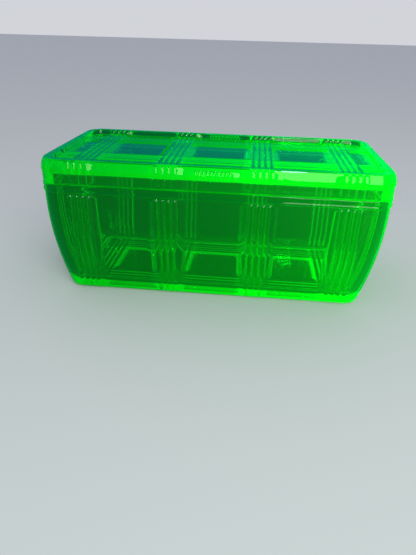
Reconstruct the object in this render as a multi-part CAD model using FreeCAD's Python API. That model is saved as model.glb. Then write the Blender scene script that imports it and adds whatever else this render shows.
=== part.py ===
import FreeCAD, Part
import math
import os

V = FreeCAD.Vector

# A covered food dish of pressed green glass: an open rectangular dish, and a loose cover that
# rests on its rim. Millimetres. X runs along the length, Y across the width, Z up, and the
# origin is the middle of the face that the dish stands on.

# The whole.
LENGTH = 210.0                # across the ends, at the rim and at the cover's shoulder
WIDTH = 105.0                 # across the long sides, at the same places
CORNER_RADIUS = 13.0          # of that outline, seen from above
SEAM_HEIGHT = 72.4            # face of the rim, where the cover rests
TOTAL_HEIGHT = 87.0           # with the cover on

# The dish.
RIM_DEPTH = 5.2               # height of the plain band round the mouth
RIM_STEP = 0.6                # how far that band stands out from the walls
RIM_ROUND = 0.7               # rounding of the rim's upper edges, inside and out
RIM_LOWER_ROUND = 0.3         # rounding of the band's lower edge
WALL = 4.2                    # glass thickness of the walls
WALL_CURVE_RADIUS = 223.4     # the walls lean in towards the foot on one gentle curve
WALL_CURVE_TOP = 62.0         # height at which that curve is upright, with straight wall above it
FLOOR = 5.0                   # from the standing face to the floor inside
FOOT_ROUND = 3.5              # rounding between the walls and the standing face
FLOOR_ROUND = 6.0             # rounding between the floor and the walls, inside
FOOT_WIDTH = 4.0              # the flat strip that the dish stands on
FOOT_HEIGHT = 0.9             # how far the middle of the underside is raised
FOOT_CORNER = 2.0             # corner radius of that raised middle

# The cover.
SIDE_STEP = 0.35              # how far the cover's side is set back below its shoulder
SIDE_STEP_HEIGHT = 0.5        # slope between the side and the shoulder
SHOULDER_HEIGHT = 79.8        # lower edge of the round shoulder
SHOULDER_INSET = 2.2          # how far the shoulder leans in on its way to the top
TOP_EDGE_WIDTH = 4.4          # flat top of the raised edge, which keeps a stacked dish in place
TOP_EDGE_LEAN = 1.0           # how far the inner face of that edge leans in
TOP_RECESS = 3.0              # how far the top panel lies below the raised edge
COVER_THICKNESS = 6.2         # glass thickness of the top panel
RIDGE_OUTER = 5.6             # outer face of the ridge that drops inside the dish's mouth
RIDGE_INNER = 8.4             # inner face of that ridge, and of the hollow above it
RIDGE_DROP = 2.0              # how far the ridge drops below the seam
HOLLOW_ROUND = 1.0            # rounding where the hollow meets the top panel
EDGE_ROUND = 0.6              # rounding of the cover's other corners

# The pressed pattern: bands of round reeds that cross one another.
CROSS_BANDS = (-80.0, -28.0, 28.0, 80.0)    # middles of the bands that run front to back
LONG_BANDS = (-26.0, 26.0)                  # middles of the bands that run end to end
REEDS_PER_BAND = 4
REED_PITCH = 3.7
REED_WIDTH = 3.5
REED_HEIGHT = 0.9
EDGE_REED_HEIGHT = 0.4        # on the cover's shoulder at its lower edge, and on the edge's inner face
SHOULDER_REED_LIFT = 0.45     # how much higher the reeds' own curve round the shoulder sits
REED_ROOT = 0.8               # how deep a reed's solid goes into the glass under it
FOOT_REED_HEIGHT = 0.6        # less than FOOT_HEIGHT, so the reeds clear the table
WALL_REED_BOTTOM = 3.4        # lower end of the reeds on the walls
WALL_REED_GAP = 0.5           # plain wall between the rim band and the reeds
COVER_REED_GAP = 0.7          # plain strip beyond each end of the reeds on the cover's side
SHOULDER_REED_GAP = 0.8       # the same at the upper end of the reeds on the shoulder

# The finger grips: fine upright ribs in the middle of each long side of the cover.
GRIP_RIBS = 10
GRIP_PITCH = 2.2
GRIP_WIDTH = 1.7
GRIP_HEIGHT = 0.45
GRIP_TOP = 84.6

HALF_LENGTH = LENGTH / 2
HALF_WIDTH = WIDTH / 2
RIM_BOTTOM = SEAM_HEIGHT - RIM_DEPTH
INNER_SETBACK = RIM_STEP + WALL
RECESS_HEIGHT = TOTAL_HEIGHT - TOP_RECESS
HOLLOW_HEIGHT = RECESS_HEIGHT - COVER_THICKNESS
SHOULDER_RISE = TOTAL_HEIGHT - SHOULDER_HEIGHT
SHOULDER_RADIUS = (SHOULDER_RISE ** 2 + SHOULDER_INSET ** 2) / (2 * SHOULDER_INSET)
TOP_EDGE_INNER = SHOULDER_INSET + TOP_EDGE_WIDTH
PANEL_INSET = TOP_EDGE_INNER + TOP_EDGE_LEAN


def wall_inset(height, setback):
    """Distance of a wall's face inside the rim outline at this height."""
    radius = WALL_CURVE_RADIUS - setback
    below = max(0.0, WALL_CURVE_TOP - height)
    return setback + radius - math.sqrt(radius ** 2 - below ** 2)


def rounded_block(inset, corner_radius, bottom, top):
    """Upright block whose outline lies this far inside the rim outline."""
    half_x = HALF_LENGTH - inset
    half_y = HALF_WIDTH - inset
    block = Part.makeBox(2 * half_x, 2 * half_y, top - bottom, V(-half_x, -half_y, bottom))
    uprights = [edge for edge in block.Edges if edge.BoundBox.ZLength > (top - bottom) / 2]
    return block.makeFillet(corner_radius, uprights)


def edges_at_height(shape, height):
    """The edges that lie flat at one height."""
    found = []
    for edge in shape.Edges:
        box = edge.BoundBox
        if abs(box.ZMin - height) < 0.01 and abs(box.ZMax - height) < 0.01:
            found.append(edge)
    return found


def leaning_slab(half_width, half_reach, setback, bottom, top):
    """Slab along X whose two long sides follow the curve of the walls."""
    bend = WALL_CURVE_TOP
    middle = (bottom + bend) / 2

    def at(sign, height):
        return V(0, sign * (half_width - wall_inset(height, setback)), height)

    right = Part.Arc(at(1, bottom), at(1, middle), at(1, bend)).toShape()
    right_top = Part.makeLine(at(1, bend), at(1, top))
    upper = Part.makeLine(at(1, top), at(-1, top))
    left_top = Part.makeLine(at(-1, top), at(-1, bend))
    left = Part.Arc(at(-1, bend), at(-1, middle), at(-1, bottom)).toShape()
    lower = Part.makeLine(at(-1, bottom), at(1, bottom))
    face = Part.Face(Part.Wire([right, right_top, upper, left_top, left, lower]))
    face.translate(V(-half_reach, 0, 0))
    return face.extrude(V(2 * half_reach, 0, 0))


def leaning_block(setback, bottom, top, lower_round):
    """Block with four leaning walls, round upright corners and a round lower edge."""
    long_walls = leaning_slab(HALF_WIDTH, LENGTH, setback, bottom, top)
    end_walls = leaning_slab(HALF_LENGTH, LENGTH, setback, bottom, top)
    end_walls.rotate(V(0, 0, 0), V(0, 0, 1), 90)
    block = long_walls.common(end_walls)
    uprights = [edge for edge in block.Edges if edge.BoundBox.ZLength > (top - bottom) / 2]
    block = block.makeFillet(CORNER_RADIUS - setback, uprights)
    return block.makeFillet(lower_round, edges_at_height(block, bottom))


def reed_section(width, height):
    """Cross section of a reed: width along X, crown towards +Y, and a flat root below y = 0."""
    half = width / 2
    crown = Part.Arc(V(half, 0, 0), V(0, height, 0), V(-half, 0, 0)).toShape()
    left = Part.makeLine(V(-half, 0, 0), V(-half, -REED_ROOT, 0))
    root = Part.makeLine(V(-half, -REED_ROOT, 0), V(half, -REED_ROOT, 0))
    right = Part.makeLine(V(half, -REED_ROOT, 0), V(half, 0, 0))
    return Part.Face(Part.Wire([crown, left, root, right]))


def straight_reed(start, end, across, outward, width=REED_WIDTH, height=REED_HEIGHT):
    """Reed along a straight line on a flat face whose outside is 'outward'."""
    face = reed_section(width, height)
    turn = FreeCAD.Rotation(across, outward, across.cross(outward), "XYZ")
    face.Placement = FreeCAD.Placement(start, turn)
    return face.extrude(end - start)


def bent_reed(offset, centre_y, centre_z, radius, low, high, width=REED_WIDTH, height=REED_HEIGHT):
    """Reed on the -Y side, bent round an axis along X, between two heights."""
    axis_point = V(offset, centre_y, centre_z)
    start_angle = math.degrees(math.asin((centre_z - high) / radius))
    end_angle = math.degrees(math.asin((centre_z - low) / radius))
    face = reed_section(width, height)
    turn = FreeCAD.Rotation(V(1, 0, 0), V(0, -1, 0), V(0, 0, -1), "XYZ")
    face.Placement = FreeCAD.Placement(axis_point + V(0, -radius, 0), turn)
    face.rotate(axis_point, V(1, 0, 0), start_angle)
    return face.revolve(axis_point, V(1, 0, 0), end_angle - start_angle)


def reed_offsets(middle):
    """Places of one band's reeds, side by side about its middle."""
    first = middle - REED_PITCH * (REEDS_PER_BAND - 1) / 2
    return [first + REED_PITCH * number for number in range(REEDS_PER_BAND)]


def on_all_sides(make_reeds):
    """Runs a function that makes the -Y side's reeds for the long sides and for the ends."""
    reeds = []
    sides = ((0, HALF_WIDTH, CROSS_BANDS), (180, HALF_WIDTH, CROSS_BANDS),
             (90, HALF_LENGTH, LONG_BANDS), (270, HALF_LENGTH, LONG_BANDS))
    for turn, half_span, bands in sides:
        for middle in bands:
            for offset in reed_offsets(middle):
                for reed in make_reeds(offset, half_span):
                    reed.rotate(V(0, 0, 0), V(0, 0, 1), turn)
                    reeds.append(reed)
    return reeds


def crossing_reeds(half_x, half_y, height, outward, crown):
    """Both sets of straight reeds on a level face that reaches half_x by half_y."""
    reeds = []
    for middle in CROSS_BANDS:
        for x in reed_offsets(middle):
            reeds.append(straight_reed(V(x, -half_y, height), V(x, half_y, height),
                                       V(1, 0, 0), outward, height=crown))
    for middle in LONG_BANDS:
        for y in reed_offsets(middle):
            reeds.append(straight_reed(V(-half_x, y, height), V(half_x, y, height),
                                       V(0, 1, 0), outward, height=crown))
    return reeds


def wall_reeds(offset, half_span):
    """One reed on the outside of a wall of the dish."""
    top = RIM_BOTTOM - WALL_REED_GAP
    radius = WALL_CURVE_RADIUS - RIM_STEP
    centre_y = -half_span + WALL_CURVE_RADIUS
    return [bent_reed(offset, centre_y, WALL_CURVE_TOP, radius, WALL_REED_BOTTOM, top)]


def mouth_edges(body):
    """The inner edges of the rim's face."""
    found = []
    for edge in edges_at_height(body, SEAM_HEIGHT):
        box = edge.BoundBox
        reach_x = max(abs(box.XMin), abs(box.XMax))
        reach_y = max(abs(box.YMin), abs(box.YMax))
        if reach_x < HALF_LENGTH - INNER_SETBACK / 2 and reach_y < HALF_WIDTH - INNER_SETBACK / 2:
            found.append(edge)
    return found


def make_dish():
    """The open dish: leaning walls, plain rim band, raised underside and pressed reeds."""
    body = leaning_block(RIM_STEP, 0, SEAM_HEIGHT - RIM_ROUND, FOOT_ROUND)
    rim = rounded_block(0, CORNER_RADIUS, RIM_BOTTOM, SEAM_HEIGHT)
    rim = rim.makeFillet(RIM_ROUND, edges_at_height(rim, SEAM_HEIGHT))
    rim = rim.makeFillet(RIM_LOWER_ROUND, edges_at_height(rim, RIM_BOTTOM))
    body = body.fuse(rim)

    foot_inset = wall_inset(0, RIM_STEP) + FOOT_ROUND + FOOT_WIDTH
    raised = rounded_block(foot_inset, FOOT_CORNER, -1, FOOT_HEIGHT)
    body = body.cut(raised)
    reach_x = HALF_LENGTH - foot_inset + REED_ROOT
    reach_y = HALF_WIDTH - foot_inset + REED_ROOT
    reeds = crossing_reeds(reach_x, reach_y, FOOT_HEIGHT, V(0, 0, -1), FOOT_REED_HEIGHT)
    reeds += on_all_sides(wall_reeds)
    body = body.fuse(reeds)

    cavity = leaning_block(INNER_SETBACK, FLOOR, TOTAL_HEIGHT, FLOOR_ROUND)
    body = body.cut(cavity)
    return body.makeFillet(RIM_ROUND, mouth_edges(body))


def cover_section():
    """Section of the cover's edge on the -Y side, from its outline in to the corners' centres."""
    def point(inset, height):
        return V(0, -HALF_WIDTH + inset, height)

    angle = math.asin(SHOULDER_RISE / SHOULDER_RADIUS) / 2
    middle = point(SHOULDER_RADIUS * (1 - math.cos(angle)),
                   SHOULDER_HEIGHT + SHOULDER_RADIUS * math.sin(angle))
    shoulder = Part.Arc(point(0, SHOULDER_HEIGHT), middle, point(SHOULDER_INSET, TOTAL_HEIGHT)).toShape()
    corners = [
        point(SHOULDER_INSET, TOTAL_HEIGHT),
        point(TOP_EDGE_INNER, TOTAL_HEIGHT),
        point(PANEL_INSET, RECESS_HEIGHT),
        point(CORNER_RADIUS, RECESS_HEIGHT),
        point(CORNER_RADIUS, HOLLOW_HEIGHT),
        point(RIDGE_INNER, HOLLOW_HEIGHT),
        point(RIDGE_INNER, SEAM_HEIGHT - RIDGE_DROP),
        point(RIDGE_OUTER, SEAM_HEIGHT - RIDGE_DROP),
        point(RIDGE_OUTER, SEAM_HEIGHT),
        point(SIDE_STEP, SEAM_HEIGHT),
        point(SIDE_STEP, SHOULDER_HEIGHT - SIDE_STEP_HEIGHT),
        point(0, SHOULDER_HEIGHT),
    ]
    edges = [Part.makeLine(start, end) for start, end in zip(corners, corners[1:])]
    return Part.Face(Part.Wire([shoulder] + edges))


def cover_blank():
    """The cover without its pattern: the edge section carried round, and the flat middle."""
    section = cover_section()
    straight_x = HALF_LENGTH - CORNER_RADIUS
    straight_y = HALF_WIDTH - CORNER_RADIUS
    pieces = []
    for turn in (0, 180):
        side = section.copy()
        side.translate(V(-straight_x, 0, 0))
        side = side.extrude(V(2 * straight_x, 0, 0))
        side.rotate(V(0, 0, 0), V(0, 0, 1), turn)
        pieces.append(side)
        corner_one = section.copy()
        corner_one.translate(V(straight_x, 0, 0))
        corner_one = corner_one.revolve(V(straight_x, -straight_y, 0), V(0, 0, 1), 90)
        corner_one.rotate(V(0, 0, 0), V(0, 0, 1), turn)
        pieces.append(corner_one)
        end = section.copy()
        end.translate(V(-straight_y, HALF_WIDTH - HALF_LENGTH, 0))
        end = end.extrude(V(2 * straight_y, 0, 0))
        end.rotate(V(0, 0, 0), V(0, 0, 1), 90 + turn)
        pieces.append(end)
        corner_two = section.copy()
        corner_two.translate(V(-straight_x, 0, 0))
        corner_two = corner_two.revolve(V(-straight_x, -straight_y, 0), V(0, 0, 1), -90)
        corner_two.rotate(V(0, 0, 0), V(0, 0, 1), turn)
        pieces.append(corner_two)
    middle = Part.makeBox(2 * straight_x, 2 * straight_y, COVER_THICKNESS,
                          V(-straight_x, -straight_y, HOLLOW_HEIGHT))
    return middle.fuse(pieces).removeSplitter()


def soften_cover(blank):
    """Rounds the cover's level edges: the hollow, the ridge, the seam and the top edge."""
    blank = blank.makeFillet(HOLLOW_ROUND, edges_at_height(blank, HOLLOW_HEIGHT))
    for height in (SEAM_HEIGHT - RIDGE_DROP, TOTAL_HEIGHT, RECESS_HEIGHT):
        blank = blank.makeFillet(EDGE_ROUND, edges_at_height(blank, height))
    return blank


def cover_side_reeds(offset, half_span):
    """One reed of the cover: up its side, round its shoulder and down into the recess."""
    face_y = -half_span + SIDE_STEP
    low = V(offset, face_y, SEAM_HEIGHT + COVER_REED_GAP)
    high = V(offset, face_y, SHOULDER_HEIGHT - COVER_REED_GAP)
    side = straight_reed(low, high, V(1, 0, 0), V(0, -1, 0), height=SIDE_STEP)
    middle = SHOULDER_HEIGHT + SHOULDER_REED_LIFT
    shoulder = bent_reed(offset, -half_span + SHOULDER_RADIUS, middle, SHOULDER_RADIUS,
                         SHOULDER_HEIGHT, TOTAL_HEIGHT - SHOULDER_REED_GAP, height=EDGE_REED_HEIGHT)
    foot = V(offset, -half_span + PANEL_INSET, RECESS_HEIGHT)
    top = V(offset, -half_span + TOP_EDGE_INNER, TOTAL_HEIGHT - EDGE_ROUND)
    slope = V(0, TOP_RECESS, TOP_EDGE_LEAN).normalize()
    inner = straight_reed(foot, top, V(1, 0, 0), slope, height=EDGE_REED_HEIGHT)
    return [side, shoulder, inner]


def grip_ribs():
    """The fine ribs that give the fingers a hold, on both long sides."""
    ribs = []
    for turn in (0, 180):
        for number in range(GRIP_RIBS):
            offset = GRIP_PITCH * (number - (GRIP_RIBS - 1) / 2)
            rib = bent_reed(offset, -HALF_WIDTH + SHOULDER_RADIUS, SHOULDER_HEIGHT, SHOULDER_RADIUS,
                            SHOULDER_HEIGHT, GRIP_TOP, GRIP_WIDTH, GRIP_HEIGHT)
            rib.rotate(V(0, 0, 0), V(0, 0, 1), turn)
            ribs.append(rib)
    return ribs


def make_cover():
    """The loose cover: round shoulder, raised edge, sunk panel, locating ridge and reeds."""
    cover = soften_cover(cover_blank())
    reach_x = HALF_LENGTH - PANEL_INSET + REED_ROOT / 2
    reach_y = HALF_WIDTH - PANEL_INSET + REED_ROOT / 2
    reeds = crossing_reeds(reach_x, reach_y, RECESS_HEIGHT, V(0, 0, 1), REED_HEIGHT)
    reeds += on_all_sides(cover_side_reeds)
    reeds += grip_ribs()
    return cover.fuse(reeds)


def save(shape, node):
    """Writes one node, and prints what it weighs in at."""
    shape.exportStep("parts/" + node + ".step")
    box = shape.BoundBox
    print(node, "valid", shape.isValid(), "solids", len(shape.Solids), "volume", round(shape.Volume),
          "box", [round(value, 2) for value in (box.XMin, box.XMax, box.YMin, box.YMax, box.ZMin, box.ZMax)])


os.makedirs("parts", exist_ok=True)
save(make_dish(), "dish_body")
save(make_cover(), "cover")
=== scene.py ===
import math

import bpy
import numpy as np
from mathutils import Matrix, Vector


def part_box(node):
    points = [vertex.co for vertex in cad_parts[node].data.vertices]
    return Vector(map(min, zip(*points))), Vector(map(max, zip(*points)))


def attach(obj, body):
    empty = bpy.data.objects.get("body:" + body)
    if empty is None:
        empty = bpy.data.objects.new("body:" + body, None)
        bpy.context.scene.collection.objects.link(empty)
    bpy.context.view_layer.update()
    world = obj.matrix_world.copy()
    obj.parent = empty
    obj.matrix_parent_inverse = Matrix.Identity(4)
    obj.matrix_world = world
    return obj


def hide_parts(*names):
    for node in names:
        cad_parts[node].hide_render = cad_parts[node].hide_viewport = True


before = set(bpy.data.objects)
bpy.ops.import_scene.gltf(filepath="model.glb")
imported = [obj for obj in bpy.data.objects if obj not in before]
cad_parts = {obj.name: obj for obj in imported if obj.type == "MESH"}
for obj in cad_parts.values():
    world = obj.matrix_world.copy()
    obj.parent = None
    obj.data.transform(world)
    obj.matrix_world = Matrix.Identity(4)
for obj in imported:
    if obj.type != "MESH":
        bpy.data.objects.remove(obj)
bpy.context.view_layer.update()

MM = 0.001

# ---------------------------------------------------------------- sizes, in millimetres
LENGTH = 210.0
WIDTH = 105.0
CORNER = 13.0                   # corner radius of the outline, seen from above
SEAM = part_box("dish_body")[1].z / MM
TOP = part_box("cover")[1].z / MM

# the dish's rim band
RIM_DEPTH = 5.2
RIM_STEP = 0.6                  # how far the wall is set in under the band
RIM_LIP = ((0.0, -0.25), (0.03, -0.05), (0.16, 0.12), (0.42, 0.3))      # outward, upward
RIM_HOLLOW = ((1.35, 0.05), (1.7, 0.18), (2.2, 0.3), (2.7, 0.3), (3.2, 0.18), (3.55, 0.05))    # up, in
MOUTH_ROUND = 0.7
MOUTH_STEPS = 5

# the dish's walls
WALL = 4.2
WALL_CURVE = 223.4
WALL_CURVE_TOP = 62.0           # straight above this height
WALL_ROWS = 14
INSIDE_ROWS = 10
FOOT_INSET = 9.45               # inset at which the outside corner is tightest
FOOT_CORNER_CUT = 3.2           # how much tighter it is there than at the rim
FOOT_CORNER_LIMIT = 9.4         # past this inset, the corners keep one centre
FOOT_CORNER_SUM = 18.634        # its inset plus its radius there
INNER_CORNER_INSET = 11.26      # past this inset, the inside corner tightens
INNER_CORNER_RATE = 0.6

# the dish's floor and foot
FLOOR = 5.0
FLOOR_ROUND = 6.0
FLOOR_STEPS = 10
FOOT_ROUND = 3.5
FOOT_STEPS = 8
FOOT_WIDTH = 4.0
FOOT_HEIGHT = 0.9
FOOT_MEETS_WALL = 2.8           # height at which the foot's round meets the wall
RECESS_STEPS = ((0.0, 0.0), (0.12, 0.06), (0.35, 0.3), (0.6, 0.65), (0.85, 0.84))      # outward, down
STANDING_STEPS = (1.1, 1.5)

# the cover
SIDE_STEP = 0.35
SIDE_ROUND = 0.6
SIDE_HEIGHTS = (77.5, 76.2)
SIDE_REED_BOTTOM = 0.75
SHOULDER_Z = 79.8
SHOULDER_INSET = 2.2
SHOULDER_TOP_STEPS = (1.3, 2.6, 3.6, 4.8, 6.4, 8.5, 11)                 # degrees below its top
SHOULDER_ANGLES = (21.8, 20.4, 19, 17.8, 15.5, 13, 10.5, 8, 5.5, 3, 1.2, 0)
EDGE_WIDTH = 4.4
EDGE_LEAN = 1.0
EDGE_ROUND = 0.6
EDGE_STEPS = 4
EDGE_SHARES = (0.35, 0.6)       # rings on the raised edge's inner face
EDGE_REED_END = 0.45            # share of that face from which its reeds die out
PANEL_Z = TOP - 3.0
PANEL_FILLET = 1.0
PANEL_STEPS = 5
UNDERSIDE_Z = PANEL_Z - 6.2
RIDGE_OUTER = 5.6
RIDGE_INNER = 8.4
RIDGE_DROP = 2.0
RIDGE_ROUND = 0.6
RIDGE_ANGLES = (0, 30, 60, 90)
HOLLOW_ROUND = 1.0
HOLLOW_CORNER_RATE = 0.5
AIR_GAP = 0.12                  # between the cover and the rim, so that their faces don't coincide

# reeds and grip ribs
CROSS_BANDS = (-80.0, -28.0, 28.0, 80.0)
LONG_BANDS = (-26.0, 26.0)
REEDS = 4
REED_PITCH = 3.7
REED_WIDTH = 3.5
REED_HEIGHT = 0.9
EDGE_REED = 0.38
EDGE_REED_LIFT = 0.45
FOOT_REED = 0.6
FOOT_REED_END = 1.7
REED_BOTTOM = 3.4
REED_GAP = 0.5
REED_STEPS = 8
REED_FULLNESS = 0.5             # 0.5 is a round reed
REED_TOP_ANGLES = (18, 36, 52, 66, 78, 90)
SIDE_REED_ANGLES = (20, 40, 58, 74, 90)
GRIP_RIBS = 10
GRIP_PITCH = 2.2
GRIP_WIDTH = 1.7
GRIP_HEIGHT = 0.45
GRIP_LIFT = 0.2
GRIP_TOP = 84.6
GRIP_STEPS = 6

# the grid of columns round the outline
CORNER_STEPS = 7
GAP_STEP = 5.0
SPARE = 0.3                     # room past the outermost reed
FIXED_SPARE = 0.4
OFF = 9.0                       # a place across a reed that is on no reed
ELSEWHERE = 10                  # takes a place off every reed, away from its own side
FAR = 1e3                       # past the end of any side
TINY = 1e-9

# ---------------------------------------------------------------- glass, colours and light
GLASS_COLOUR = (0.012, 0.85, 0.16, 1.0)
GLASS_IOR = 1.5
GLASS_ROUGHNESS = 0.015
# painted glow: a faint emission from the glass's surface
SURFACE_GLOW_COLOUR = (0.02, 1.0, 0.02, 1.0)
SURFACE_GLOW_STRENGTH = 0.006
WAVE_SCALE = 55.0
WAVE_DETAIL = 1.0
WAVE_STRENGTH = 0.03
WAVE_DISTANCE = 0.001
ABSORB_COLOUR = (0.0, 0.9, 0.1, 1.0)
ABSORB_DENSITY = 120.0
# painted glow of the glass's body, stronger towards +X where the light is stronger
GLOW_COLOUR = (0.01, 1.0, 0.005, 1.0)
GLOW = 16.0
GLOW_RISE_PER_METRE = 900.0     # factor by which the glow grows over one metre towards +X

# colours as seen directly, through glass, and in a reflection; the dark ones through glass are painted shade,
# and the blue ones in a reflection are painted reflections
FLOOR_WITH_PAINTED_SHADE_AND_REFLECTION = ((0.62, 0.63, 0.64), (0.003, 0.01, 0.02), (0.007, 0.055, 0.2))
STUDIO_WITH_PAINTED_SHADE_AND_REFLECTION = ((0.92, 0.94, 1.0), (0.007, 0.02, 0.065), (0.007, 0.09, 0.48))
STUDIO_STRENGTH = 0.7
FLOOR_ROUGHNESS = 0.75
FLOOR_SPECULAR = 0.3
FLOOR_HALF = 12.0               # metres
FLOOR_DROP = 0.15               # millimetres

# name, place, target and size in metres, power in watts, colour
LIGHTS = (
    ("key", (0.35, -0.78, 0.5), (0.07, 0, 0.08), (0.6, 0.8), 5.0, (0.85, 1.0, 0.8)),
    ("glint", (0.12, -0.65, 0.76), (0, 0, 0.08), (0.06, 0.06), 0.6, (0.5, 0.8, 1.0)),
)
BOUNCES = 32
GLOSSY_BOUNCES = 8

CAMERA_YAW_PITCH_ROLL = (4.95, 27.24, 1.56)
CAMERA_PLACE = (22.0, -317.7, 154.7)
SENSOR = 36.0
FOCAL_SHARE = 476.3 / 555       # focal length over the picture's longer side
CLIP = (0.01, 50)


# ---------------------------------------------------------------- stations round the outline
def stations(bands, count, pitch, width, steps):
    """Places across every reed of every band: (place, share of the reed's width from its middle)."""
    found = []
    for band in bands:
        for k in range(count):
            middle = band + (k - (count - 1) / 2) * pitch
            for s in range(steps + 1):
                share = 0.5 * math.sin(math.pi * (s / steps - 0.5))
                found.append((middle + share * width, share))
    return found


def fill_gaps(marked, limit, step):
    """The marked places out to the limit, with plain ones between, so that no gap is wider than a step."""
    filled = []
    marked = [(-limit, OFF)] + sorted(marked) + [(limit, OFF)]
    for (x0, s0), (x1, _) in zip(marked, marked[1:]):
        filled.append((x0, s0))
        parts = int((x1 - x0) / step)
        for p in range(1, parts + 1):
            filled.append((x0 + (x1 - x0) * p / (parts + 1), OFF))
    filled.append(marked[-1])
    return filled


def axis_stations(bands, grip):
    """Fixed places along one axis, with each one's place across a reed and across a grip rib."""
    reach = max(bands) + (REEDS - 1) / 2 * REED_PITCH + REED_WIDTH / 2
    reeds = stations(bands, REEDS, REED_PITCH, REED_WIDTH, REED_STEPS)
    ribs = stations((0.0,), GRIP_RIBS, GRIP_PITCH, GRIP_WIDTH, GRIP_STEPS) if grip else []
    rib_at = {round(x, 6): s for x, s in ribs}
    marked = reeds + [(x, OFF) for x, _ in ribs]
    places = fill_gaps(marked, reach + SPARE, GAP_STEP)
    return [(x, s, rib_at.get(round(x, 6), OFF)) for x, s in places]


ALONG_X = axis_stations(CROSS_BANDS, True)
ALONG_Y = axis_stations(LONG_BANDS, False)


def columns(places):
    """Corner share, fixed place, reed share and rib share of each column.

    The columns are the corner steps, an end, the places, an end, and the corner steps again.
    """
    k = CORNER_STEPS
    straight = [0.0] * (len(places) + 2)
    corner = [-(k - i) / k for i in range(k)] + straight + [(i + 1) / k for i in range(k)]
    middle = [-FAR] * (k + 1) + [p[0] for p in places] + [FAR] * (k + 1)
    reed = [OFF] * (k + 1) + [p[1] for p in places] + [OFF] * (k + 1)
    rib = [OFF] * (k + 1) + [p[2] for p in places] + [OFF] * (k + 1)
    return [np.array(v, float) for v in (corner, middle, reed, rib)]


CORNER_X, MIDDLE_X, REED_X, RIB_X = columns(ALONG_X)
CORNER_Y, MIDDLE_Y, REED_Y, _ = columns(ALONG_Y)
NX, NY = len(CORNER_X), len(CORNER_Y)
FIXED_X = ALONG_X[-1][0] + FIXED_SPARE
FIXED_Y = ALONG_Y[-1][0] + FIXED_SPARE


def outline_walk():
    """The grid's outer columns and rows, anticlockwise from the front side's left end."""
    k = CORNER_STEPS
    walk = [(i, 0) for i in range(k, NX)]
    walk += [(NX - 1, j) for j in range(1, NY)]
    walk += [(i, NY - 1) for i in range(NX - 2, -1, -1)]
    walk += [(0, j) for j in range(NY - 2, -1, -1)]
    walk += [(i, 0) for i in range(1, k)]
    return np.array(walk)


WALK = outline_walk()


def plan(i, j, inset, radius):
    """Plan position and outward direction of grid points.

    They lie on a round-cornered rectangle that is set in from the outline.
    """
    a, b = LENGTH / 2 - inset, WIDTH / 2 - inset
    ends = np.array([a - radius, b - radius])
    squeeze = np.minimum(1.0, ends / np.array([FIXED_X, FIXED_Y]))
    base_x = np.clip(MIDDLE_X[i] * squeeze[0], -ends[0], ends[0])
    base_y = np.clip(MIDDLE_Y[j] * squeeze[1], -ends[1], ends[1])
    s, t = np.abs(CORNER_X[i]), np.abs(CORNER_Y[j])
    big = np.maximum(np.maximum(s, t), TINY)
    angle = np.where(s >= t, math.pi / 4 * t / big, math.pi / 2 - math.pi / 4 * s / big)
    reach = np.maximum(s, t)
    sx = np.where(CORNER_X[i] < 0, -1.0, 1.0)
    sy = np.where(CORNER_Y[j] < 0, -1.0, 1.0)
    out = np.stack([sx * np.cos(angle), sy * np.sin(angle)], axis=-1)
    at = np.stack([base_x, base_y], axis=-1) + radius * reach[..., None] * out
    return at, out


def dome(share, over, width):
    """Height of a rounded reed from 0 to 1: share is across it, over is how far past its straight part."""
    return np.maximum(0.0, 1.0 - (2 * share) ** 2 - (2 * over / width) ** 2) ** REED_FULLNESS


# ---------------------------------------------------------------- section paths
class Path:
    """A section line from one flat panel's border to the other.

    It is a list of rings, each with its own inset, height, corner radius, reeds and ribs.
    """

    def __init__(self):
        self.rows = []

    def add(self, n, z, radius, reed=0.0, over=0.0, rib=0.0, rib_over=0.0):
        self.rows.append((n, z, radius, reed, over, rib, rib_over))

    def arc(self, centre, size, start, end, steps, radius_of, **reeds):
        """Rings round a centre (inset, height) between two angles in degrees: 0 is outward, 90 up."""
        for s in range(steps + 1):
            angle = math.radians(start + (end - start) * s / steps)
            n = centre[0] - size * math.cos(angle)
            z = centre[1] + size * math.sin(angle)
            self.add(n, z, radius_of(n), **reeds)

    def rings(self, flip):
        """The rings' points, with each one moved along the section's normal by its reeds."""
        rows = np.array(self.rows)
        i, j = WALK[:, 0], WALK[:, 1]
        step = np.diff(rows[:, :2], axis=0)
        unit = step / np.maximum(np.linalg.norm(step, axis=1), TINY)[:, None]
        along = np.vstack([unit[:1], unit[1:] + unit[:-1], unit[-1:]])
        along /= np.linalg.norm(along, axis=1)[:, None]
        sign = -1.0 if flip else 1.0
        rings = []
        for (n, z, radius, reed, over, rib, rib_over), (dn, dz) in zip(rows, along):
            at, out = plan(i, j, n, radius)
            off_long_side = ELSEWHERE * np.abs(CORNER_Y[j] ** 2 - 1)
            off_short_side = ELSEWHERE * np.abs(CORNER_X[i] ** 2 - 1)
            reed_share = np.minimum(np.abs(REED_X[i]) + off_long_side, np.abs(REED_Y[j]) + off_short_side)
            rib_share = np.abs(RIB_X[i]) + off_long_side
            push = reed * dome(np.minimum(reed_share, OFF), over, REED_WIDTH)
            push = np.maximum(push, rib * dome(np.minimum(rib_share, OFF), rib_over, GRIP_WIDTH))
            side, up = sign * dz, sign * dn
            xy = at + out * (side * push)[:, None]
            rings.append(np.column_stack([xy, z + up * push]))
        return rings


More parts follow.
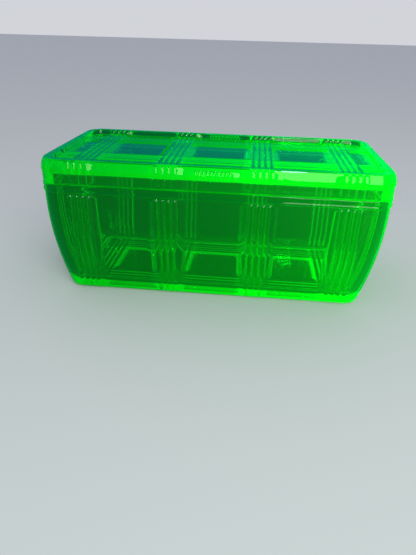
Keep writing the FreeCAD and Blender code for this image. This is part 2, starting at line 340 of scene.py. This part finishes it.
def panel(z, inset, radius, height, direction, ends_over):
    """A flat panel with crossing reeds as a grid of points.

    Direction is 1 for reeds that stand up and -1 for down. They die out over the last ends_over of it.
    """
    i, j = np.meshgrid(np.arange(NX), np.arange(NY), indexing="ij")
    at, _ = plan(i, j, inset, radius)
    past = np.zeros_like(at)
    if ends_over:
        half = np.array([LENGTH / 2 - inset, WIDTH / 2 - inset])
        past = np.maximum(0.0, np.abs(at) - (half - ends_over)) * (REED_WIDTH / 2 / ends_over)
    cross = dome(np.abs(REED_X[i]), past[..., 1], REED_WIDTH)
    long = dome(np.abs(REED_Y[j]), past[..., 0], REED_WIDTH)
    rise = height * np.maximum(cross, long)
    return np.dstack([at, z + direction * rise])


class Shell:
    """Points and faces of one closed glass piece."""

    def __init__(self):
        self.points, self.faces = [], []

    def add_points(self, points):
        first = len(self.points)
        self.points.extend(map(tuple, points))
        return np.arange(first, len(self.points))

    def grid(self, points, up):
        """A panel's faces. Gives the indices round its border."""
        index = self.add_points(points.reshape(-1, 3)).reshape(NX, NY)
        a, b, c, d = index[:-1, :-1], index[1:, :-1], index[1:, 1:], index[:-1, 1:]
        order = (a, b, c, d) if up else (d, c, b, a)
        self.faces.extend(np.stack(order, axis=-1).reshape(-1, 4).tolist())
        return index[WALK[:, 0], WALK[:, 1]]

    def bridge(self, lower, upper, flip):
        a, b = lower, np.roll(lower, -1)
        c, d = np.roll(upper, -1), upper
        order = (d, c, b, a) if flip else (a, b, c, d)
        self.faces.extend(np.stack(order, axis=-1).tolist())

    def close(self, border, flip):
        self.faces.append([int(v) for v in (border[::-1] if flip else border)])

    def finish(self, name, material):
        mesh = bpy.data.meshes.new(name)
        mesh.from_pydata((np.array(self.points) * MM).tolist(), [], self.faces)
        mesh.validate()
        mesh.shade_smooth()
        mesh.materials.append(material)
        piece = bpy.data.objects.new(name, mesh)
        bpy.context.scene.collection.objects.link(piece)
        return piece


def build(name, first_panel, path, flip, material):
    """A closed piece: a reeded panel, the rings of its section, and a flat face that closes the far end."""
    shell = Shell()
    border = shell.grid(first_panel, up=flip)
    for ring in path.rings(flip)[1:]:
        nxt = shell.add_points(ring)
        shell.bridge(border, nxt, flip)
        border = nxt
    shell.close(border, flip)
    return shell.finish(name, material)


# ---------------------------------------------------------------- the dish
def wall_inset(z, setback):
    """Inset of a wall's face at a height, for a face set back from the outline."""
    bend = WALL_CURVE - setback
    return setback + bend - math.sqrt(bend ** 2 - max(0.0, WALL_CURVE_TOP - z) ** 2)


def wall_lean(z, setback):
    """How far the wall leans from upright at a height, in degrees."""
    return math.degrees(math.asin(max(0.0, WALL_CURVE_TOP - z) / (WALL_CURVE - setback)))


def wall_corner(n):
    """Corner radius of the dish's outside at an inset."""
    if n > FOOT_CORNER_LIMIT:
        return FOOT_CORNER_SUM - n
    return CORNER - RIM_STEP - FOOT_CORNER_CUT * (n / FOOT_INSET) ** 2


def inner_corner(n):
    """Corner radius of the dish's inside at an inset."""
    return CORNER - RIM_STEP - WALL - INNER_CORNER_RATE * max(0.0, n - INNER_CORNER_INSET)


def rim_corner(n):
    """Corner radius at an inset from the full outline, round the same centre."""
    return CORNER - n


def hollow_corner(n):
    """Corner radius of the cover's hollow at an inset."""
    return rim_corner(RIDGE_INNER) - HOLLOW_CORNER_RATE * (n - RIDGE_INNER)


def dish_path():
    path = Path()
    recess = wall_inset(0, RIM_STEP) + FOOT_ROUND + FOOT_WIDTH
    # raised underside, its short wall, and the standing face
    for back, down in RECESS_STEPS:
        path.add(recess - back, FOOT_HEIGHT - down, wall_corner(recess - back))
    for back in STANDING_STEPS:
        path.add(recess - back, 0.0, wall_corner(recess - back))
    # foot rounding, tangent to the standing face and to the leaning wall
    lean = wall_lean(FOOT_MEETS_WALL, RIM_STEP)
    foot_z = FOOT_ROUND * (1 - math.sin(math.radians(lean)))
    foot_n = wall_inset(foot_z, RIM_STEP) + FOOT_ROUND * math.cos(math.radians(lean))
    path.add(foot_n + 0.3, 0.0, wall_corner(foot_n + 0.3))
    for s in range(FOOT_STEPS + 1):
        angle = math.radians(-90 + (90 - lean) * s / FOOT_STEPS)
        n = foot_n - FOOT_ROUND * math.cos(angle)
        z = FOOT_ROUND + FOOT_ROUND * math.sin(angle)
        over = max(0.0, REED_BOTTOM - z)
        on = REED_HEIGHT if over < REED_WIDTH / 2 else 0.0
        path.add(n, z, wall_corner(n), reed=on, over=over)
    # wall with its reeds
    top = SEAM - RIM_DEPTH - REED_GAP
    straight = top - REED_WIDTH / 2
    heights = list(np.linspace(REED_BOTTOM + 0.2, straight, WALL_ROWS))
    heights += [straight + REED_WIDTH / 2 * math.sin(math.radians(a)) for a in REED_TOP_ANGLES]
    for z in heights:
        n = wall_inset(z, RIM_STEP)
        path.add(n, z, wall_corner(n), reed=REED_HEIGHT, over=max(0.0, z - straight))
    # rim band, with a shallow hollow round its middle
    low = SEAM - RIM_DEPTH
    under = wall_inset(low, RIM_STEP)
    for out, up in RIM_LIP:
        path.add(under - out, low + up, wall_corner(under))
    path.add(under - 0.6, low + 0.5, rim_corner(0.1))
    path.add(0.02, low + 0.75, rim_corner(0))
    path.add(0.0, low + 1.0, rim_corner(0))
    for z, dip in RIM_HOLLOW:
        path.add(dip, low + z, rim_corner(dip))
    path.add(0.0, low + 3.9, rim_corner(0))
    path.add(0.0, SEAM - 0.9, rim_corner(0))
    path.arc((MOUTH_ROUND, SEAM - MOUTH_ROUND), MOUTH_ROUND, 0, 90, MOUTH_STEPS, rim_corner)
    inner = wall_inset(SEAM - MOUTH_ROUND, RIM_STEP + WALL)
    for n in (1.0, inner - 1.0, inner - MOUTH_ROUND):
        path.add(n, SEAM, rim_corner(n))
    for step in range(1, MOUTH_STEPS + 1):
        a = math.radians(90 * step / MOUTH_STEPS)
        n = inner - MOUTH_ROUND + MOUTH_ROUND * math.sin(a)
        z = SEAM - MOUTH_ROUND + MOUTH_ROUND * math.cos(a)
        path.add(n, z, max(rim_corner(n), inner_corner(0)))
    # inside wall, the round at its foot, and the floor
    lean = wall_lean(FLOOR + FLOOR_ROUND, RIM_STEP + WALL)
    turn_z = FLOOR + FLOOR_ROUND * (1 - math.sin(math.radians(lean)))
    path.add(wall_inset(SEAM - 1.1, RIM_STEP + WALL), SEAM - 1.1, inner_corner(0))
    for z in np.linspace(SEAM - 5, turn_z + 0.5, INSIDE_ROWS):
        n = wall_inset(z, RIM_STEP + WALL)
        path.add(n, z, inner_corner(n))
    turn_n = wall_inset(turn_z, RIM_STEP + WALL) + FLOOR_ROUND * math.cos(math.radians(lean))
    for s in range(FLOOR_STEPS + 1):
        angle = math.radians(-lean - (90 - lean) * s / FLOOR_STEPS)
        n = turn_n - FLOOR_ROUND * math.cos(angle)
        z = FLOOR + FLOOR_ROUND + FLOOR_ROUND * math.sin(angle)
        path.add(n, z, inner_corner(n))
    path.add(turn_n + 0.5, FLOOR, inner_corner(turn_n + 0.5))
    return path, recess


# ---------------------------------------------------------------- the cover
def cover_path():
    path = Path()
    slope = math.degrees(math.atan2(TOP - PANEL_Z, EDGE_LEAN))
    foot = SHOULDER_INSET + EDGE_WIDTH + EDGE_LEAN
    border = foot + PANEL_FILLET / math.tan(math.radians(180 - slope) / 2)
    # sunk panel's border, the hollow round it, and the raised edge's inner face
    for s in range(PANEL_STEPS + 1):
        angle = math.radians(-90 + slope * s / PANEL_STEPS)
        n = border - PANEL_FILLET * math.sin(math.radians(slope * s / PANEL_STEPS))
        z = PANEL_Z + PANEL_FILLET + PANEL_FILLET * math.sin(angle)
        part = s / PANEL_STEPS
        path.add(n, z, rim_corner(n), reed=REED_HEIGHT + (EDGE_REED - REED_HEIGHT) * part)
    up = math.radians(slope)
    edge = SHOULDER_INSET + EDGE_WIDTH
    back_off = EDGE_ROUND * math.tan(up / 2)
    foot_n, foot_z = path.rows[-1][:2]
    for share in EDGE_SHARES:
        n = foot_n + (edge - foot_n) * share
        z = foot_z + (TOP - foot_z) * share
        over = REED_WIDTH / 2 * max(0.0, share - EDGE_REED_END) / EDGE_REED_END
        path.add(n, z, rim_corner(n), reed=EDGE_REED, over=over)
    # top edge, rounded on both sides
    for s in range(EDGE_STEPS + 1):
        angle = up - up * s / EDGE_STEPS
        n = edge - back_off + EDGE_ROUND * math.sin(angle)
        z = TOP - EDGE_ROUND + EDGE_ROUND * math.cos(angle)
        path.add(n, z, rim_corner(n))
    shoulder = ((TOP - SHOULDER_Z) ** 2 + SHOULDER_INSET ** 2) / (2 * SHOULDER_INSET)
    path.add(edge - back_off - 0.25, TOP, rim_corner(edge))
    for past, down in ((0.6, 0.0), (0.28, 0.01), (0.06, 0.08)):
        path.add(SHOULDER_INSET + past, TOP - down, rim_corner(SHOULDER_INSET + past))
    # round shoulder, with reeds and grip ribs
    first = math.degrees(math.asin((TOP - SHOULDER_Z) / shoulder))
    reed_end = first - SHOULDER_TOP_STEPS[-1]
    for angle in [first - down for down in SHOULDER_TOP_STEPS] + list(SHOULDER_ANGLES):
        a = math.radians(angle)
        n = shoulder - shoulder * math.cos(a)
        z = SHOULDER_Z + shoulder * math.sin(a)
        over = max(0.0, math.radians(angle - reed_end) * shoulder)
        on = EDGE_REED + EDGE_REED_LIFT * math.sin(a) if over < REED_WIDTH / 2 else 0.0
        rib_over = max(0.0, z - (GRIP_TOP - GRIP_WIDTH / 2))
        rib_on = GRIP_HEIGHT if rib_over < GRIP_WIDTH / 2 else 0.0
        rib = min(rib_on, EDGE_REED + GRIP_LIFT * math.sin(a))
        path.add(n, z, rim_corner(n), reed=on, over=over, rib=rib, rib_over=rib_over)
    # step to the side, and the side down to its lower edge
    path.add(0.03, SHOULDER_Z - 0.1, rim_corner(0), reed=EDGE_REED, rib=GRIP_HEIGHT - 0.05)
    path.add(0.16, SHOULDER_Z - 0.26, rim_corner(0.16), reed=EDGE_REED, rib=GRIP_HEIGHT, rib_over=0.4)
    path.add(0.3, SHOULDER_Z - 0.42, rim_corner(0.3), reed=EDGE_REED, rib=GRIP_HEIGHT, rib_over=0.7)
    path.add(SIDE_STEP, SHOULDER_Z - 0.6, rim_corner(SIDE_STEP), reed=SIDE_STEP)
    low = SEAM + AIR_GAP
    straight = low + SIDE_REED_BOTTOM + REED_WIDTH / 2
    for z in (SHOULDER_Z - 1.0, *SIDE_HEIGHTS, straight):
        path.add(SIDE_STEP, z, rim_corner(SIDE_STEP), reed=SIDE_STEP)
    for angle in SIDE_REED_ANGLES:
        over = REED_WIDTH / 2 * math.sin(math.radians(angle))
        path.add(SIDE_STEP, straight - over, rim_corner(SIDE_STEP), reed=SIDE_STEP, over=over)
    path.arc((SIDE_STEP + SIDE_ROUND, low + SIDE_ROUND), SIDE_ROUND, 0, -90, 5, rim_corner)
    # underneath: the resting face, the ridge that drops inside the mouth, and the hollow
    path.add(SIDE_STEP + 0.9, low, rim_corner(SIDE_STEP + 0.9))
    for out, down in ((0.8, 0.0), (0.4, 0.0), (0.1, 0.1), (0.0, 0.4)):
        path.add(RIDGE_OUTER - out, low - down, rim_corner(RIDGE_OUTER - out))
    bottom = SEAM - RIDGE_DROP
    path.add(RIDGE_OUTER, bottom + 0.9, rim_corner(RIDGE_OUTER))
    for angle in RIDGE_ANGLES:
        a = math.radians(angle)
        n = RIDGE_OUTER + RIDGE_ROUND - RIDGE_ROUND * math.cos(a)
        path.add(n, bottom + RIDGE_ROUND - RIDGE_ROUND * math.sin(a), rim_corner(n))
    for angle in RIDGE_ANGLES:
        a = math.radians(angle)
        n = RIDGE_INNER - RIDGE_ROUND + RIDGE_ROUND * math.sin(a)
        path.add(n, bottom + RIDGE_ROUND - RIDGE_ROUND * math.cos(a), rim_corner(n))
    path.add(RIDGE_INNER, bottom + 1.2, rim_corner(RIDGE_INNER))
    turn = UNDERSIDE_Z - HOLLOW_ROUND
    path.add(RIDGE_INNER, turn - 0.5, rim_corner(RIDGE_INNER))
    path.arc((RIDGE_INNER + HOLLOW_ROUND, turn), HOLLOW_ROUND, 0, 90, 6, hollow_corner)
    last = RIDGE_INNER + HOLLOW_ROUND + 0.5
    path.add(last, UNDERSIDE_Z, hollow_corner(last))
    return path, border


# ---------------------------------------------------------------- materials
def nodes_of(name):
    material = bpy.data.materials.new(name)
    material.use_nodes = True
    tree = material.node_tree
    tree.nodes.clear()
    output = tree.nodes.new("ShaderNodeOutputMaterial")
    return material, tree, output


def glass():
    """Green pressed glass that gives off its own light, a painted glow: a tinted clear surface, a glowing,
    absorbing body.
    """
    material, tree, output = nodes_of("uranium_glass")
    new, link = tree.nodes.new, tree.links.new
    surface = new("ShaderNodeBsdfPrincipled")
    surface.inputs["Base Color"].default_value = GLASS_COLOUR
    surface.inputs["Transmission Weight"].default_value = 1.0
    surface.inputs["IOR"].default_value = GLASS_IOR
    surface.inputs["Roughness"].default_value = GLASS_ROUGHNESS
    # a faint painted glow on the surface
    surface.inputs["Emission Color"].default_value = SURFACE_GLOW_COLOUR
    surface.inputs["Emission Strength"].default_value = SURFACE_GLOW_STRENGTH
    link(surface.outputs["BSDF"], output.inputs["Surface"])

    place = new("ShaderNodeTexCoord")
    waves = new("ShaderNodeTexNoise")
    waves.inputs["Scale"].default_value = WAVE_SCALE
    waves.inputs["Detail"].default_value = WAVE_DETAIL
    link(place.outputs["Object"], waves.inputs["Vector"])
    bump = new("ShaderNodeBump")
    bump.inputs["Strength"].default_value = WAVE_STRENGTH
    bump.inputs["Distance"].default_value = WAVE_DISTANCE
    link(waves.outputs["Fac"], bump.inputs["Height"])
    link(bump.outputs["Normal"], surface.inputs["Normal"])

    absorb = new("ShaderNodeVolumeAbsorption")
    absorb.inputs["Color"].default_value = ABSORB_COLOUR
    absorb.inputs["Density"].default_value = ABSORB_DENSITY
    # the body's painted glow
    glow = new("ShaderNodeEmission")
    glow.inputs["Color"].default_value = GLOW_COLOUR
    # the glow rises towards +X, which stands in for light that is stronger on that side
    split = new("ShaderNodeSeparateXYZ")
    link(place.outputs["Object"], split.inputs["Vector"])
    along = new("ShaderNodeMath")
    along.operation = "POWER"
    along.inputs[0].default_value = GLOW_RISE_PER_METRE
    link(split.outputs["X"], along.inputs[1])
    strength = new("ShaderNodeMath")
    strength.operation = "MULTIPLY"
    strength.inputs[0].default_value = GLOW
    link(along.outputs["Value"], strength.inputs[1])
    link(strength.outputs["Value"], glow.inputs["Strength"])
    both = new("ShaderNodeAddShader")
    link(absorb.outputs["Volume"], both.inputs[0])
    link(glow.outputs["Emission"], both.inputs[1])
    link(both.outputs["Shader"], output.inputs["Volume"])
    return material


def floor_with_painted_shade():
    material, tree, output = nodes_of("pale_floor_with_painted_shade")
    surface = tree.nodes.new("ShaderNodeBsdfPrincipled")
    surface.inputs["Roughness"].default_value = FLOOR_ROUGHNESS
    surface.inputs["Specular IOR Level"].default_value = FLOOR_SPECULAR
    # the floor is painted dark where it is seen through glass (painted shade) and dark blue in a reflection
    # (painted reflection)
    colour = colour_with_painted_shade_and_reflection(tree, *FLOOR_WITH_PAINTED_SHADE_AND_REFLECTION)
    tree.links.new(colour, surface.inputs["Base Color"])
    tree.links.new(surface.outputs["BSDF"], output.inputs["Surface"])
    return material


def colour_with_painted_shade_and_reflection(tree, plain, through, mirrored):
    """One colour as seen directly, a darker one through glass as painted shade, and a third one in a
    reflection as a painted reflection.
    """
    seen = tree.nodes.new("ShaderNodeLightPath")
    last = None
    for ray, colour in (("Is Transmission Ray", through), ("Is Glossy Ray", mirrored)):
        mix = tree.nodes.new("ShaderNodeMix")
        mix.data_type = "RGBA"
        mix.inputs["A"].default_value = (*plain, 1.0)
        mix.inputs["B"].default_value = (*colour, 1.0)
        tree.links.new(seen.outputs[ray], mix.inputs["Factor"])
        if last:
            tree.links.new(last, mix.inputs["A"])
        last = mix.outputs["Result"]
    return last


# ---------------------------------------------------------------- the set
def add_floor():
    half = FLOOR_HALF
    mesh = bpy.data.meshes.new("floor")
    z = -FLOOR_DROP * MM
    corners = [(-half, -half, z), (half, -half, z), (half, half, z), (-half, half, z)]
    mesh.from_pydata(corners, [], [(0, 1, 2, 3)])
    mesh.materials.append(floor_with_painted_shade())
    floor = bpy.data.objects.new("floor", mesh)
    bpy.context.scene.collection.objects.link(floor)


def add_light(name, at, target, size, power, colour):
    lamp = bpy.data.lights.new(name, "AREA")
    lamp.shape = "RECTANGLE"
    lamp.size, lamp.size_y = size
    lamp.energy = power
    lamp.color = colour
    light = bpy.data.objects.new(name, lamp)
    light.location = at
    light.rotation_mode = "QUATERNION"
    light.rotation_quaternion = (Vector(target) - Vector(at)).to_track_quat("-Z", "Y")
    light.visible_camera = False
    bpy.context.scene.collection.objects.link(light)


def add_world():
    world = bpy.data.worlds.new("studio")
    world.use_nodes = True
    tree = world.node_tree
    back = tree.nodes["Background"]
    # the studio is painted dark where it is seen through glass (painted shade) and blue in a reflection
    # (painted reflection)
    colour = colour_with_painted_shade_and_reflection(tree, *STUDIO_WITH_PAINTED_SHADE_AND_REFLECTION)
    tree.links.new(colour, back.inputs["Color"])
    back.inputs["Strength"].default_value = STUDIO_STRENGTH
    bpy.context.scene.world = world


def add_camera():
    yaw, pitch, roll = (math.radians(a) for a in CAMERA_YAW_PITCH_ROLL)
    lens = bpy.data.cameras.new("camera")
    lens.sensor_width = SENSOR
    lens.lens = FOCAL_SHARE * SENSOR
    lens.clip_start, lens.clip_end = CLIP
    camera = bpy.data.objects.new("camera", lens)
    cy, sy, cp, sp, cr, sr = (f(a) for a in (yaw, pitch, roll) for f in (math.cos, math.sin))
    world = Matrix(((cy, sy, 0), (-sy, cy, 0), (0, 0, 1)))
    axes = Matrix(((1, 0, 0), (0, 0, -1), (0, 1, 0)))
    tilt = Matrix(((1, 0, 0), (0, cp, -sp), (0, sp, cp)))
    bank = Matrix(((cr, -sr, 0), (sr, cr, 0), (0, 0, 1)))
    rows = bank @ tilt @ axes @ world
    turned = Matrix((rows[0], -rows[1], -rows[2])).transposed().to_4x4()
    turned.translation = Vector(CAMERA_PLACE) * MM
    camera.matrix_world = turned
    bpy.context.scene.collection.objects.link(camera)
    bpy.context.scene.camera = camera


def add_piece(name, node, body, path, first_panel, flip, material):
    piece = build(name, first_panel, path, flip, material)
    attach(piece, body)
    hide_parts(node)


def main():
    green = glass()
    path, inset = dish_path()
    under = panel(FOOT_HEIGHT, inset, wall_corner(inset), FOOT_REED, -1, FOOT_REED_END)
    add_piece("dish_glass", "dish_body", "dish", path, under, False, green)
    path, inset = cover_path()
    top = panel(PANEL_Z, inset, rim_corner(inset), REED_HEIGHT, 1, 0)
    add_piece("cover_glass", "cover", "cover", path, top, True, green)

    add_floor()
    add_world()
    for light in LIGHTS:
        add_light(*light)
    add_camera()
    scene = bpy.context.scene
    scene.view_settings.view_transform = "Standard"
    scene.cycles.max_bounces = BOUNCES
    scene.cycles.transmission_bounces = BOUNCES
    scene.cycles.glossy_bounces = GLOSSY_BOUNCES


main()
